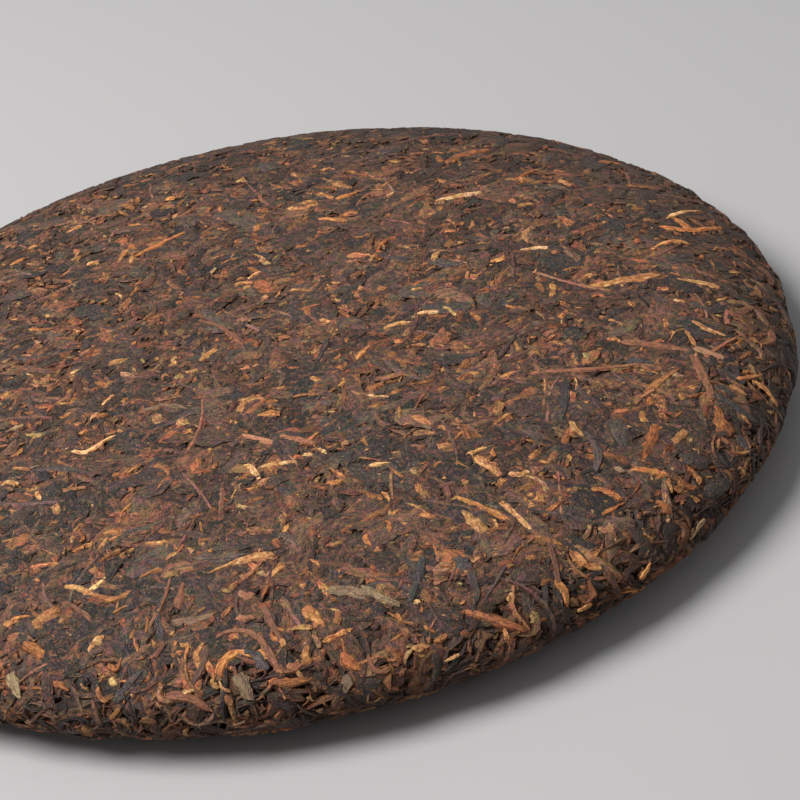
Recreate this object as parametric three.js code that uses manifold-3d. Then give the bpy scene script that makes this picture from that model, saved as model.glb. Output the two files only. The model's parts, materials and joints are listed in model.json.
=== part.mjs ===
// A cake of ripe pu-erh tea: twisted leaves steamed in a cloth bag and pressed into a domed disc,
// with a round edge, a flat underside and the dimple that the knot of the bag leaves in its middle.
// Millimetres, +Z up. The origin is on the table, under the middle of the cake.
import * as THREE from "three";
import { mergeVertices } from "three/addons/utils/BufferGeometryUtils.js";
import Module from "manifold-3d";

// The pressed outline, over the outermost leaves
const cakeRadius = 100;
const cakeHeight = 24;
const edgeHeight = 9; // of the widest line, above the table
const crownPower = 4; // the higher, the flatter the crown and the rounder its shoulder
const footRadius = 82;
const knotRadius = 28;
const knotDepth = 10;
const restWidth = 6; // of the smooth rings that the cake rests on, round the knot and at the foot

// The body under the outermost leaves
const leafCover = { pressed: 0.8, loose: 1.0 }; // how deep it lies under the outline, on the flats and at the edge
const bodySwell = 0.3; // how far its surface rises and sinks
const swellLength = { least: 24, most: 45 }; // from one rise to the next
const swellWaves = 7;
const bodySectors = 48;
const [knotRows, footRows, edgeRows, crownRows] = [4, 3, 4, 11];

// The larger leaves
const leafLength = { least: 11, most: 19 };
const leafWidth = { least: 2.2, most: 3.6 };
const leafThickness = { pressed: 1.8, loose: 2.4 };
const leafSink = 0.05; // so that no leaf stands out of the outline or under the table
const leafSides = 4;
const leafStations = 3;
const leafBend = { pressed: 0.9, loose: 2.2 }; // radians from end to end, on the flats and on the edge
const crownLeaves = 76;
const shoulderLeaves = 32;
const edgeLeaves = 36;
const lowerEdgeLeaves = 26;
const footLeaves = 30;
const knotLeaves = 4;
const drawSeed = 357;

const goldenAngle = Math.PI * (3 - Math.sqrt(5));

// A seeded stream of numbers from 0 to 1, so that the cake comes out alike each time.
function makeDraw(seed) {
  let state = seed >>> 0;
  return () => {
    state = (state + 0x6d2b79f5) >>> 0;
    let mixed = Math.imul(state ^ (state >>> 15), state | 1);
    mixed ^= mixed + Math.imul(mixed ^ (mixed >>> 7), mixed | 61);
    return ((mixed ^ (mixed >>> 14)) >>> 0) / 4294967296;
  };
}

// How loosely the leaves are pressed at a distance from the axis: 0 on the flats, 1 at the edge.
function looseness(radius) {
  return THREE.MathUtils.smoothstep(radius, 0.78 * cakeRadius, 0.97 * cakeRadius);
}

// A size between that of the flats and that of the edge.
function sizeAt(radius, { pressed, loose }) {
  return THREE.MathUtils.lerp(pressed, loose, looseness(radius));
}

// Height of the pressed crown at a distance from the axis.
function crownHeight(radius) {
  const share = Math.min(1, radius / cakeRadius);
  return edgeHeight + (cakeHeight - edgeHeight) * Math.sqrt(1 - share ** crownPower);
}

// Depth of the dimple at a distance from the axis: a bowl with a rounded lip.
function knotHeight(radius) {
  const share = Math.min(1, radius / knotRadius);
  return knotDepth * (1 - share ** 3) ** 2;
}

// The curve of the edge below its widest line, from the foot (turn 0) to the widest line (turn 1).
function lowerEdge(turn) {
  const angle = (turn * Math.PI) / 2;
  return new THREE.Vector2(
    footRadius + (cakeRadius - footRadius) * Math.sin(angle),
    edgeHeight * (1 - Math.cos(angle)),
  );
}

// The crown from its widest line (turn 0) to the axis (turn 1), closer together at the shoulder.
function crownPoint(turn) {
  const radius = cakeRadius * Math.cos((turn * Math.PI) / 2) ** 0.62;
  return new THREE.Vector2(turn === 1 ? 0 : radius, crownHeight(radius));
}

// The pressed outline from the middle of the dimple round to the middle of the crown.
function outline(knotSteps, footSteps, edgeSteps, crownSteps) {
  const points = [];
  for (let i = 0; i <= knotSteps; i++) {
    const radius = (knotRadius * i) / knotSteps;
    points.push(new THREE.Vector2(radius, knotHeight(radius)));
  }
  const innerRest = knotRadius + restWidth;
  const outerRest = footRadius - restWidth;
  for (let i = 0; i <= footSteps; i++)
    points.push(new THREE.Vector2(innerRest + ((outerRest - innerRest) * i) / footSteps, 0));
  for (let i = 0; i <= edgeSteps; i++) points.push(lowerEdge(i / edgeSteps));
  for (let i = 1; i <= crownSteps; i++) points.push(crownPoint(i / crownSteps));
  return points;
}

// The unit normal that points out of the cake, at each point of an outline.
function outwardNormals(points) {
  return points.map((point, i) => {
    const before = points[Math.max(0, i - 1)];
    const after = points[Math.min(points.length - 1, i + 1)];
    return new THREE.Vector2(after.y - before.y, before.x - after.x).normalize();
  });
}

const fineOutline = outline(24, 24, 24, 90);
const fineNormals = outwardNormals(fineOutline);

// The nearest point of the pressed outline to a place in space, with the way out there.
function nearestOnOutline(place) {
  const around = Math.atan2(place.y, place.x);
  const here = new THREE.Vector2(Math.hypot(place.x, place.y), place.z);
  let nearest = 0;
  let least = Infinity;
  fineOutline.forEach((point, i) => {
    const distance = point.distanceToSquared(here);
    if (distance < least) {
      least = distance;
      nearest = i;
    }
  });
  const [point, normal] = [fineOutline[nearest], fineNormals[nearest]];
  // Slides along the tangent to the foot of the perpendicular, so that the outline isn't a staircase.
  const tangent = new THREE.Vector2(-normal.y, normal.x);
  const slide = here.clone().sub(point).dot(tangent);
  const foot = point.clone().addScaledVector(tangent, slide);
  const turn = (flat) => new THREE.Vector3(flat.x * Math.cos(around), flat.x * Math.sin(around), flat.y);
  return { foot: turn(foot), normal: turn(normal) };
}

// A closed three.js geometry as a solid that can be joined to others.
function solidFrom(geometry, wasm) {
  const bare = geometry.clone();
  bare.deleteAttribute("normal");
  bare.deleteAttribute("uv");
  const merged = mergeVertices(bare, 1e-4);
  return new wasm.Manifold(
    new wasm.Mesh({
      numProp: 3,
      vertProperties: new Float32Array(merged.attributes.position.array),
      triVerts: new Uint32Array(merged.index.array),
    }),
  );
}

// The gentle rises and dips of the body, as waves that cross each other at seeded angles.
function makeSwell(draw) {
  const waves = Array.from({ length: swellWaves }, () => {
    const heading = new THREE.Vector3(2 * draw() - 1, 2 * draw() - 1, draw() - 0.5).normalize();
    const length = THREE.MathUtils.lerp(swellLength.least, swellLength.most, draw());
    return { heading: heading.multiplyScalar((2 * Math.PI) / length), phase: 2 * Math.PI * draw() };
  });
  return (place) => {
    const sum = waves.reduce((total, { heading, phase }) => total + Math.sin(heading.dot(place) + phase), 0);
    return THREE.MathUtils.clamp(bodySwell * sum * 0.5, -bodySwell, bodySwell);
  };
}

// The body of the cake: the outline turned round the axis, sunk under the leaves and swelling a little.
function bodyGeometry(draw) {
  const rows = outline(knotRows, footRows, edgeRows, crownRows);
  const normals = outwardNormals(rows);
  const restsOn = (row) => rows[row].y === 0 && (row <= knotRows + 1 || rows[row].x >= footRadius - restWidth);
  const swell = makeSwell(draw);
  const geometry = new THREE.LatheGeometry(rows, bodySectors);
  const position = geometry.attributes.position;
  const place = new THREE.Vector3();
  for (let i = 0; i < position.count; i++) {
    const row = i % rows.length;
    const sector = Math.floor(i / rows.length) % bodySectors;
    const around = (sector / bodySectors) * 2 * Math.PI;
    const radius = rows[row].x < 1e-6 ? 0 : rows[row].x;
    place.set(radius * Math.cos(around), radius * Math.sin(around), rows[row].y);
    const out = restsOn(row) ? 0 : swell(place) - sizeAt(radius, leafCover);
    const aside = radius === 0 ? 0 : radius + normals[row].x * out;
    position.setXYZ(i, aside * Math.cos(around), aside * Math.sin(around), rows[row].y + normals[row].y * out);
  }
  return geometry;
}

// One twisted leaf: pointed at both ends, bent along an arc and draped over the pressed outline.
function leafGeometry({ place, heading, length, width, bend }) {
  const geometry = new THREE.SphereGeometry(1, leafSides, leafStations);
  geometry.rotateZ(-Math.PI / 2); // its poles, the tips, lie along X
  const widest = Math.sin((Math.PI / leafStations) * Math.floor(leafStations / 2));
  geometry.scale(1, 1 / widest, 1 / widest);
  const { foot, normal } = nearestOnOutline(place);
  const across = new THREE.Vector3(0, 0, 1).cross(foot).normalize();
  if (across.lengthSq() < 0.5) across.set(0, 1, 0);
  const inward = new THREE.Vector3().crossVectors(normal, across).normalize();
  const position = geometry.attributes.position;
  const vertex = new THREE.Vector3();
  for (let i = 0; i < position.count; i++) {
    vertex.fromBufferAttribute(position, i);
    const angle = vertex.x * bend * 0.5;
    const arcRadius = length / bend;
    const side = vertex.y * width * 0.5;
    const along = (arcRadius + side) * Math.sin(angle);
    const aside = (arcRadius + side) * Math.cos(angle) - arcRadius;
    const u = along * Math.cos(heading) - aside * Math.sin(heading);
    const v = along * Math.sin(heading) + aside * Math.cos(heading);
    const spot = foot.clone().addScaledVector(across, u).addScaledVector(inward, v);
    const under = nearestOnOutline(spot);
    const out = sizeAt(spot.setZ(0).length(), leafThickness) * 0.5 * (vertex.z - 1) - leafSink;
    under.foot.addScaledVector(under.normal, out);
    position.setXYZ(i, under.foot.x, under.foot.y, under.foot.z);
  }
  return geometry;
}

// Where the larger leaves lie: evenly over the crown and the foot, and in belts round the edge and the knot.
function leafPlaces(draw) {
  const between = ({ least, most }) => least + (most - least) * draw();
  const leaf = (radius, around, height, bendMost, swing = Math.PI) => ({
    place: new THREE.Vector3(radius * Math.cos(around), radius * Math.sin(around), height),
    heading: (draw() - 0.5) * swing, // from the way round the cake
    length: between(leafLength),
    width: between(leafWidth),
    bend: (0.25 + 0.75 * draw()) * bendMost * (draw() < 0.5 ? -1 : 1),
  });
  const places = [];
  const crownReach = 0.86 * cakeRadius;
  for (let i = 0; i < crownLeaves; i++) {
    const radius = crownReach * Math.sqrt((i + 0.5) / crownLeaves);
    places.push(leaf(radius, i * goldenAngle, crownHeight(radius), leafBend.pressed));
  }
  const belt = (count, radius, height, reach, bendMost, swing) => {
    for (let i = 0; i < count; i++) {
      const around = ((i + 0.3 * (draw() - 0.5)) / count) * 2 * Math.PI;
      places.push(leaf(radius + reach * (draw() - 0.5), around, height, bendMost, swing));
    }
  };
  belt(shoulderLeaves, 0.94 * cakeRadius, crownHeight(0.94 * cakeRadius), 5, leafBend.loose);
  belt(edgeLeaves, cakeRadius, edgeHeight, 0, leafBend.pressed, 1);
  const lower = lowerEdge(0.48);
  belt(lowerEdgeLeaves, lower.x, lower.y, 3, leafBend.loose);
  const footInner = knotRadius + restWidth + 8;
  const footOuter = footRadius - restWidth - 4;
  for (let i = 0; i < footLeaves; i++) {
    const share = (i + 0.5) / footLeaves;
    const radius = Math.sqrt(footInner ** 2 + share * (footOuter ** 2 - footInner ** 2));
    places.push(leaf(radius, i * goldenAngle, 0, leafBend.pressed));
  }
  belt(knotLeaves, 0.55 * knotRadius, knotHeight(0.55 * knotRadius), 4, leafBend.pressed);
  return places;
}

const wasm = await Module();
wasm.setup();

function pressedCake() {
  const draw = makeDraw(drawSeed);
  let solid = solidFrom(bodyGeometry(draw), wasm);
  for (const place of leafPlaces(draw)) solid = solid.add(solidFrom(leafGeometry(place), wasm));
  const { vertProperties, triVerts } = solid.getMesh();
  return new THREE.BufferGeometry()
    .setAttribute("position", new THREE.BufferAttribute(new Float32Array(vertProperties), 3))
    .setIndex(new THREE.BufferAttribute(new Uint32Array(triVerts), 1));
}

const teaMaterial = new THREE.MeshStandardMaterial({ color: 0x35231a, roughness: 0.75, metalness: 0 });
const teaCake = new THREE.Mesh(pressedCake(), teaMaterial);
teaCake.name = "tea_cake";
teaCake.geometry.computeVertexNormals();

const model = new THREE.Group();
model.add(teaCake);

export default model;
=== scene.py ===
import json
import math

import bpy
import numpy as np
from mathutils import Matrix, Vector

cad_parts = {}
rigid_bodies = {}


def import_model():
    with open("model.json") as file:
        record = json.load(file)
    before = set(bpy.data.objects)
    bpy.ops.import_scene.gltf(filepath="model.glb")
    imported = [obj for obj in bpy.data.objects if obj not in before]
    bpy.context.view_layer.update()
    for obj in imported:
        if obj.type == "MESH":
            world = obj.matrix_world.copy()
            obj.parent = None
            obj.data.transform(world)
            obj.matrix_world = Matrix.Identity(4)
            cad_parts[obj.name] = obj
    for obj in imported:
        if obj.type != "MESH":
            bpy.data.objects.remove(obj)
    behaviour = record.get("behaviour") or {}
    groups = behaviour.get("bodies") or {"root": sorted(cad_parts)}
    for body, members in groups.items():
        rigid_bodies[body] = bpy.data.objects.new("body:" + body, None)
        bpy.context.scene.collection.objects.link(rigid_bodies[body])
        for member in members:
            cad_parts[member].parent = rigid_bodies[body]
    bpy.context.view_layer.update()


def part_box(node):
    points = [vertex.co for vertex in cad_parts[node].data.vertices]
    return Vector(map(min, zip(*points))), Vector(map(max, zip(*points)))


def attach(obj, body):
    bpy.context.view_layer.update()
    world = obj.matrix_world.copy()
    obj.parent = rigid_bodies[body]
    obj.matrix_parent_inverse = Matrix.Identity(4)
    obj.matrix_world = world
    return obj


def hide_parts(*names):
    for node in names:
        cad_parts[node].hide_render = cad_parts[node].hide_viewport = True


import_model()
scene = bpy.context.scene
mm = 0.001
goldenAngle = math.pi * (3 - math.sqrt(5))

# Camera, at the photograph's viewing angle. The cake is propped up there, so this camera leans with it.
# Middle is the pixel at which the cake's axis meets the table.
cameraSet = dict(
    distance=0.486, elevation=32.32, roll=-12.68, lens=112.5, sensor=36, nearest=0.01, picture=800,
    middle=(284.7, 426.3),
)


def cameraAxes():
    # Looks at the foot of the cake's axis, is rolled about the line of sight, and then turned by the
    # smallest turn that brings that foot to its pixel. The rows are the picture's right, down and ahead.
    focal = cameraSet["lens"] / cameraSet["sensor"] * cameraSet["picture"]
    tip = math.radians(cameraSet["elevation"])
    roll = math.radians(cameraSet["roll"])
    eye = cameraSet["distance"] * np.array([0, -math.cos(tip), math.sin(tip)])
    ahead = -eye / np.linalg.norm(eye)
    right = np.array([1.0, 0, 0])
    down = -np.cross(right, ahead)
    rolled = np.array([[math.cos(roll), -math.sin(roll), 0], [math.sin(roll), math.cos(roll), 0], [0, 0, 1]])
    half = cameraSet["picture"] / 2
    px, py = cameraSet["middle"]
    aim = np.array([(px - half) / focal, (py - half) / focal, 1])
    aim /= np.linalg.norm(aim)
    x, y, z = np.cross([0, 0, 1], aim)
    skew = np.array([[0, -z, y], [z, 0, -x], [-y, x, 0]])
    turned = np.eye(3) + skew + skew @ skew / (1 + aim[2])
    return eye, turned @ rolled @ np.array([right, down, ahead]), focal


eye, axes, focal = cameraAxes()
camera = bpy.data.objects.new("Camera", bpy.data.cameras.new("Camera"))
camera.data.lens = cameraSet["lens"]
camera.data.sensor_width = cameraSet["sensor"]
camera.data.clip_start = cameraSet["nearest"]
cameraPlace = np.eye(4)
cameraPlace[:3, :3] = np.stack([axes[0], -axes[1], -axes[2]], axis=1)
cameraPlace[:3, 3] = eye
camera.matrix_world = Matrix(cameraPlace.tolist())
scene.collection.objects.link(camera)
scene.camera = camera

# Light and floor
lightSet = dict(
    key=dict(at=(-0.52, -0.05, 0.81), size=0.62, power=15.4, colour=(1.0, 0.98, 0.95)),
    back=dict(at=(0.2, 1.0, 0.8), size=0.9, power=0.5, colour=(0.97, 0.98, 1.0)),
    fill=dict(at=(0.95, -0.1, 0.32), size=0.6, power=0.6, colour=(1.0, 0.97, 0.93)),
)
skySet = dict(colour=(1.0, 0.985, 0.96), strength=0.34)
floorSet = dict(size=6, colour=(0.35, 0.35, 0.36), roughness=0.9)
for name, lampSet in lightSet.items():
    lamp = bpy.data.lights.new(name, "AREA")
    lamp.shape = "DISK"
    lamp.size = lampSet["size"]
    lamp.energy = lampSet["power"]
    lamp.color = lampSet["colour"]
    lampObject = bpy.data.objects.new(name, lamp)
    lampObject.location = lampSet["at"]
    lampObject.rotation_euler = Vector(lampSet["at"]).to_track_quat("Z", "Y").to_euler()
    scene.collection.objects.link(lampObject)
scene.world = bpy.data.worlds.new("studio")
scene.world.use_nodes = True
sky = scene.world.node_tree.nodes["Background"]
sky.inputs["Color"].default_value = (*skySet["colour"], 1)
sky.inputs["Strength"].default_value = skySet["strength"]
scene.view_settings.view_transform = "Standard"

bpy.ops.mesh.primitive_plane_add(size=floorSet["size"], location=(0, 0, 0))
floor = bpy.context.object
floor.name = "floor"
floorLook = bpy.data.materials.new("floor")
floorLook.use_nodes = True
floorShader = floorLook.node_tree.nodes["Principled BSDF"]
floorShader.inputs["Base Color"].default_value = (*floorSet["colour"], 1)
floorShader.inputs["Roughness"].default_value = floorSet["roughness"]
floor.data.materials.append(floorLook)
print("camera, light and floor are set")

# The pressed outline: half a cut through the cake, turned round Z. Its radius and height come from the
# CAD node, less a margin that keeps the leaves inside the node's box. Steps are points of each curve.
margin = dict(side=0.05 * mm, top=0.07 * mm)
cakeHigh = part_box("tea_cake")[1]
cake = dict(
    radius=min(cakeHigh.x, cakeHigh.y) - margin["side"], height=cakeHigh.z - margin["top"],
    edge=9 * mm, foot=82 * mm, knotRadius=28 * mm, knotDepth=10 * mm,
)
outlineSteps = dict(dimple=300, foot=300, edge=400, even=2200)


def cakeOutline():
    # From the middle of the dimple under the cake, across the foot, round the edge and over the crown.
    # Dimple: z = depth (1 - (r / R)^3)^2. Under the edge: a quarter of an ellipse. Crown: z rises from the
    # edge with the sine of a turn while r falls with the square root of its cosine.
    dimpleR = np.linspace(0, cake["knotRadius"], outlineSteps["dimple"])
    dimpleZ = cake["knotDepth"] * (1 - (dimpleR / cake["knotRadius"]) ** 3) ** 2
    footR = np.linspace(cake["knotRadius"], cake["foot"], outlineSteps["foot"])[1:]
    turn = np.linspace(0, math.pi / 2, outlineSteps["edge"])[1:]
    lowR = cake["foot"] + (cake["radius"] - cake["foot"]) * np.sin(turn)
    lowZ = cake["edge"] * (1 - np.cos(turn))
    highR = cake["radius"] * np.sqrt(np.maximum(np.cos(turn), 0))
    highZ = cake["edge"] + (cake["height"] - cake["edge"]) * np.sin(turn)
    r = np.concatenate([dimpleR, footR, lowR, highR])
    z = np.concatenate([dimpleZ, 0 * footR, lowZ, highZ])
    run = np.concatenate([[0], np.cumsum(np.hypot(np.diff(r), np.diff(z)))])
    even = np.linspace(0, run[-1], outlineSteps["even"])
    return even, np.interp(even, run, r), np.interp(even, run, z)


# A place on the cake is s, the way along the outline from the middle of the dimple, phi, the angle round
# the axis, and h, the height outside the outline. Arc has the values of s at outR and outZ.
arc, outR, outZ = cakeOutline()
edgeIndex = int(np.argmax(outR))
slopeR, slopeZ = np.gradient(outR, arc), np.gradient(outZ, arc)
slopeLength = np.hypot(slopeR, slopeZ)
slopeR, slopeZ = slopeR / slopeLength, slopeZ / slopeLength

looseZone = dict(start=0.91, end=0.99, swing=0.04, front=math.radians(-45))


def looseAt(s, phi):
    # 0 on the flats and 1 round the edge, where the leaves are pressed less: a smooth step of the radius,
    # which starts further in on one side, as the cosine of the angle from there.
    start = looseZone["start"] - looseZone["swing"] * np.cos(phi - looseZone["front"])
    out = np.interp(s, arc, outR) / cake["radius"]
    step = np.clip((out - start) / (looseZone["end"] - start), 0, 1)
    return step * step * (3 - 2 * step)


def onCake(s0, phi0, a, b):
    # The place a along the outline and b round the cake from (s0, phi0). Past the axis the outline is
    # folded back, and b lengthens the way to the axis as it does on a flat disc.
    s = s0 + a
    out = (s < 0) | (s > arc[-1])
    folded = np.where(s < 0, -s, np.where(s > arc[-1], 2 * arc[-1] - s, s))
    x = np.where(out, -1.0, 1.0) * np.interp(folded, arc, outR)
    further = np.hypot(x, b) - np.abs(x)
    return np.clip(folded + np.interp(folded, arc, slopeR) * further, 0, arc[-1]), phi0 + np.arctan2(b, x)


def raised(s, phi, h):
    # The point h outside the outline: its point at s, moved along the outward normal (dz/ds, -dr/ds).
    r = np.interp(s, arc, outR) + np.interp(s, arc, slopeZ) * h
    z = np.interp(s, arc, outZ) - np.interp(s, arc, slopeR) * h
    return np.stack([r * np.cos(phi), r * np.sin(phi), z], axis=-1)


# Random fields are sums of waves, whose lengths are from shortest to longest times the field's own.
waveSet = dict(count=14, shortest=0.7, longest=1.4, level=0.62)


def waves(points, length, seed):
    # A smooth random field from -1 to 1: the sum of sine waves of about one length, with seeded headings.
    draw = np.random.default_rng(seed)
    count = waveSet["count"]
    heads = draw.normal(size=(count, 3))
    lengths = length * draw.uniform(waveSet["shortest"], waveSet["longest"], (count, 1))
    heads *= 2 * math.pi / (lengths * np.linalg.norm(heads, axis=1, keepdims=True))
    total = np.zeros(points.shape[:-1])
    for head, phase in zip(heads, draw.uniform(0, 2 * math.pi, count)):
        total += np.sin(points @ head + phase)
    return np.clip(total * waveSet["level"] / math.sqrt(count / 2), -1, 1)


def waveSum(points, fields):
    # The sum of random fields. Each is its strength, its length in millimetres and its seed.
    return sum(strength * waves(points, length * mm, seed) for strength, length, seed in fields)


# Dents and clusters of leaves. Each field is its strength, for dents in millimetres, its length and its seed.
dentFields = dict(broad=(0.08, 38, 3), short=(0.04, 9, 5), edge=(0.32, 11, 4))
toneFields = [(0.15, 5, 91), (0.12, 12, 92), (0.05, 30, 94)]
hueFields = [(0.20, 7, 95), (0.12, 18, 96)]
hueSet = dict(middle=0.5, edge=0.2, chance=0.28, edgeChance=0.12)
# Painted rim shade: how much darker the leaves are painted round the rim, more on one side
paintedRimShade = dict(share=0.54, more=0.25, start=0.96, end=0.995, swing=0.41, side=math.radians(60))


def dents(points, loose):
    # How far the whole surface is pushed in: shallow swells, broad ones and short ones, and deeper ones
    # that grow towards the edge.
    total = 0
    for kind, share in dict(broad=1.0, short=1.0, edge=loose).items():
        deep, length, seed = dentFields[kind]
        total = total + share * deep * mm * (1 + waves(points, length * mm, seed))
    return total


def paintedRimShadeAt(points):
    # How much painted shade darkens the leaves at the rim: it grows evenly with the radius. On one side it
    # starts further in and is stronger, as the cosine of the angle from there.
    phi = np.arctan2(points[..., 1], points[..., 0])
    near = np.maximum(np.cos(phi - paintedRimShade["side"]), 0)
    start = paintedRimShade["start"] - paintedRimShade["swing"] * near
    out = np.hypot(points[..., 0], points[..., 1]) / cake["radius"]
    step = np.clip((out - start) / (paintedRimShade["end"] - start), 0, 1)
    return paintedRimShade["share"] * (1 + paintedRimShade["more"] * near) * step


def hueAt(points, loose, draw):
    # 0 for a cool leaf and 1 for a warm one: clusters, a little warmer round the edge, and chance.
    cluster = waveSum(points, hueFields) + hueSet["edge"] * loose
    chance = (hueSet["chance"] + hueSet["edgeChance"] * loose) * draw.normal(size=points.shape[:-1])
    return np.clip(hueSet["middle"] + cluster + chance, 0, 1)


# Material tools
def plug(tree, socket, value):
    # A number or a colour is set on the socket itself, and anything else is linked to it.
    if isinstance(value, (int, float)):
        socket.default_value = value
    elif isinstance(value, tuple):
        socket.default_value = (*value, 1)
    else:
        tree.links.new(value, socket)


def node(tree, kind, inputs=(), **settings):
    # Inputs are pairs of a socket and what goes into it.
    made = tree.nodes.new(kind)
    for key, value in settings.items():
        setattr(made, key, value)
    for key, value in inputs:
        plug(tree, made.inputs[key], value)
    return made


def rampOf(tree, value, stops, colours):
    made = node(tree, "ShaderNodeValToRGB")
    elements = made.color_ramp.elements
    while len(elements) < len(stops):
        elements.new(0.5)
    for element, at, colour in zip(elements, stops, colours):
        element.position = at
        element.color = (*colour, 1)
    plug(tree, made.inputs["Fac"], value)
    return made.outputs["Color"]


def mathOf(tree, kind, a, b=0.0, clamp=False):
    return node(tree, "ShaderNodeMath", [(0, a), (1, b)], operation=kind, use_clamp=clamp).outputs[0]


def weighted(tree, pairs):
    # The sum of each value less a half, times its weight.
    total = None
    for value, weight in pairs:
        part = mathOf(tree, "MULTIPLY", mathOf(tree, "SUBTRACT", value, 0.5), weight)
        total = part if total is None else mathOf(tree, "ADD", total, part)
    return total


def noiseOf(tree, vector, scale, detail, rough):
    inputs = [("Vector", vector), ("Scale", scale), ("Detail", detail), ("Roughness", rough)]
    return node(tree, "ShaderNodeTexNoise", inputs).outputs["Fac"]


def mixColour(tree, factor, a, b, kind="MIX"):
    inputs = [("Factor", factor), (6, a), (7, b)]
    return node(tree, "ShaderNodeMix", inputs, data_type="RGBA", blend_type=kind).outputs[2]


def stepOf(tree, value, limits, top=1.0):
    # A smooth step from nought at the lower limit to the top at the upper one.
    inputs = [("Value", value), ("From Min", limits[0]), ("From Max", limits[1]), ("To Max", top)]
    return node(tree, "ShaderNodeMapRange", inputs, interpolation_type="SMOOTHSTEP").outputs["Result"]


def lifted(tree, value, share):
    # One where the value is one, and one less the share where it is nought.
    return mathOf(tree, "ADD", mathOf(tree, "MULTIPLY", value, share), 1 - share)


def attributeOf(tree, key):
    return node(tree, "ShaderNodeAttribute", attribute_name=key).outputs["Fac"]


def stretched(tree, vector, along):
    # The map drawn out along the leaf.
    made = node(tree, "ShaderNodeMapping", [("Vector", vector)])
    made.inputs["Scale"].default_value = (along, 1.0, 1.0)
    return made.outputs["Vector"]


def addBump(tree, shader, height, strength, distance):
    inputs = [("Height", height), ("Strength", strength), ("Distance", distance)]
    plug(tree, shader.inputs["Normal"], node(tree, "ShaderNodeBump", inputs).outputs["Normal"])


def newMaterial(name):
    made = bpy.data.materials.new(name)
    made.use_nodes = True
    tree = made.node_tree
    return made, tree, tree.nodes["Principled BSDF"], node(tree, "ShaderNodeTexCoord").outputs["Object"]


# Noise on the leaves: detail and roughness, and before them the scale where all kinds share it. The pattern
# of fibres and folds is drawn out along the leaf. Limits are where a noise or a depth begins to tell and
# where it tells in full.
leafNoise = dict(
    fibres=(5, 0.65), folds=(3, 0.55), casts=(5, 0.75),
    blotches=(850, 4, 0.65), grain=(3300, 3, 0.7), rust=(1250, 3, 0.6), gold=(2100, 2, 0.6),
)
drawnOut = dict(fibres=0.2, folds=0.4)
leafLimits = dict(
    rust=(0.55, 0.64), gold=(0.64, 0.70), cast=(0.36, 0.64), paintedSunkenShade=(0.05, 1.0), fold=(0.0, 0.04),
    groove=(0.34, 0.5), dull=(0.3, 0.7),
)
# Painted shade: how far the deepest leaves go towards the painted sunken shade colour, the colour of painted
# crease shade, and the bump's depth.
leafDepth = dict(paintedSunkenShare=0.7, paintedCreaseShadeColour=(0.006, 0.004, 0.003), relief=0.3 * mm)


def leafMaterial(name, look):
    # A leaf's own tone picks its place on the ramp, and fibres, blotches and grain move it from there.
    # Specks of rust-red and golden leaf stick to it. Its hue and a mauve or olive cast tint it. Painted
    # shade darkens folds, grooves, leaves that lie deeper and leaves at the rim.
    made, tree, shader, where = newMaterial(name)
    along = node(tree, "ShaderNodeUVMap", uv_map="fibre").outputs["UV"]
    tone, hue, paintedShadeDepth = (attributeOf(tree, key) for key in ("tone", "hue", "paintedShadeDepth"))
    fibres = noiseOf(tree, stretched(tree, along, drawnOut["fibres"]), look["fibres"], *leafNoise["fibres"])
    folds = noiseOf(tree, stretched(tree, along, drawnOut["folds"]), look["folds"], *leafNoise["folds"])
    blotches = noiseOf(tree, where, *leafNoise["blotches"])
    grain = noiseOf(tree, where, *leafNoise["grain"])
    rustNoise = noiseOf(tree, where, *leafNoise["rust"])
    goldNoise = noiseOf(tree, where, *leafNoise["gold"])
    castNoise = noiseOf(tree, along, look["casts"], *leafNoise["casts"])

    moved = weighted(tree, [(fibres, look["fibreTone"]), (blotches, look["blotchTone"]),
                            (grain, look["grainTone"])])
    plain = rampOf(tree, mathOf(tree, "ADD", tone, moved, clamp=True), look["stops"], look["ramp"])
    rust = stepOf(tree, rustNoise, leafLimits["rust"], look["rustShare"])
    rusty = mixColour(tree, rust, plain, look["rust"])
    gold = stepOf(tree, goldNoise, leafLimits["gold"], look["goldShare"])
    flecked = mixColour(tree, gold, rusty, look["gold"])
    tint = mixColour(tree, hue, look["cool"], look["warm"])
    cast = mixColour(tree, stepOf(tree, castNoise, leafLimits["cast"]), look["mauve"], look["olive"])
    tinted = mixColour(tree, 1.0, mixColour(tree, 1.0, flecked, tint, "MULTIPLY"), cast, "MULTIPLY")
    # Painted shade: deeper leaves and leaves at the rim are mixed towards a dark shade colour.
    sunk = stepOf(tree, paintedShadeDepth, leafLimits["paintedSunkenShade"], leafDepth["paintedSunkenShare"])
    paintedSunkenShade = mixColour(tree, sunk, tinted, look["paintedSunkenShade"])
    # Painted crease shade: folds and fibre grooves are mixed towards a dark shade colour.
    offFold = mathOf(tree, "ABSOLUTE", mathOf(tree, "SUBTRACT", folds, 0.5))
    fold = stepOf(tree, offFold, leafLimits["fold"])
    groove = stepOf(tree, fibres, leafLimits["groove"])
    paintedShade = mathOf(tree, "MULTIPLY", lifted(tree, fold, look["foldPaintedShade"]),
                   lifted(tree, groove, look["groovePaintedShade"]))
    tree.links.new(mixColour(tree, paintedShade, leafDepth["paintedCreaseShadeColour"], paintedSunkenShade), shader.inputs["Base Color"])

    glossiest, dullest = look["roughness"]
    dull = mathOf(tree, "MULTIPLY", stepOf(tree, blotches, leafLimits["dull"]), dullest - glossiest)
    tree.links.new(mathOf(tree, "ADD", dull, glossiest), shader.inputs["Roughness"])
    plug(tree, shader.inputs["Specular IOR Level"], look["shine"])
    relief = weighted(tree, [(fibres, look["fibreRelief"]), (grain, look["grainRelief"]),
                             (fold, look["foldRelief"]), (blotches, look["blotchRelief"])])
    addBump(tree, shader, relief, look["bump"], leafDepth["relief"])
    return made


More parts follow.
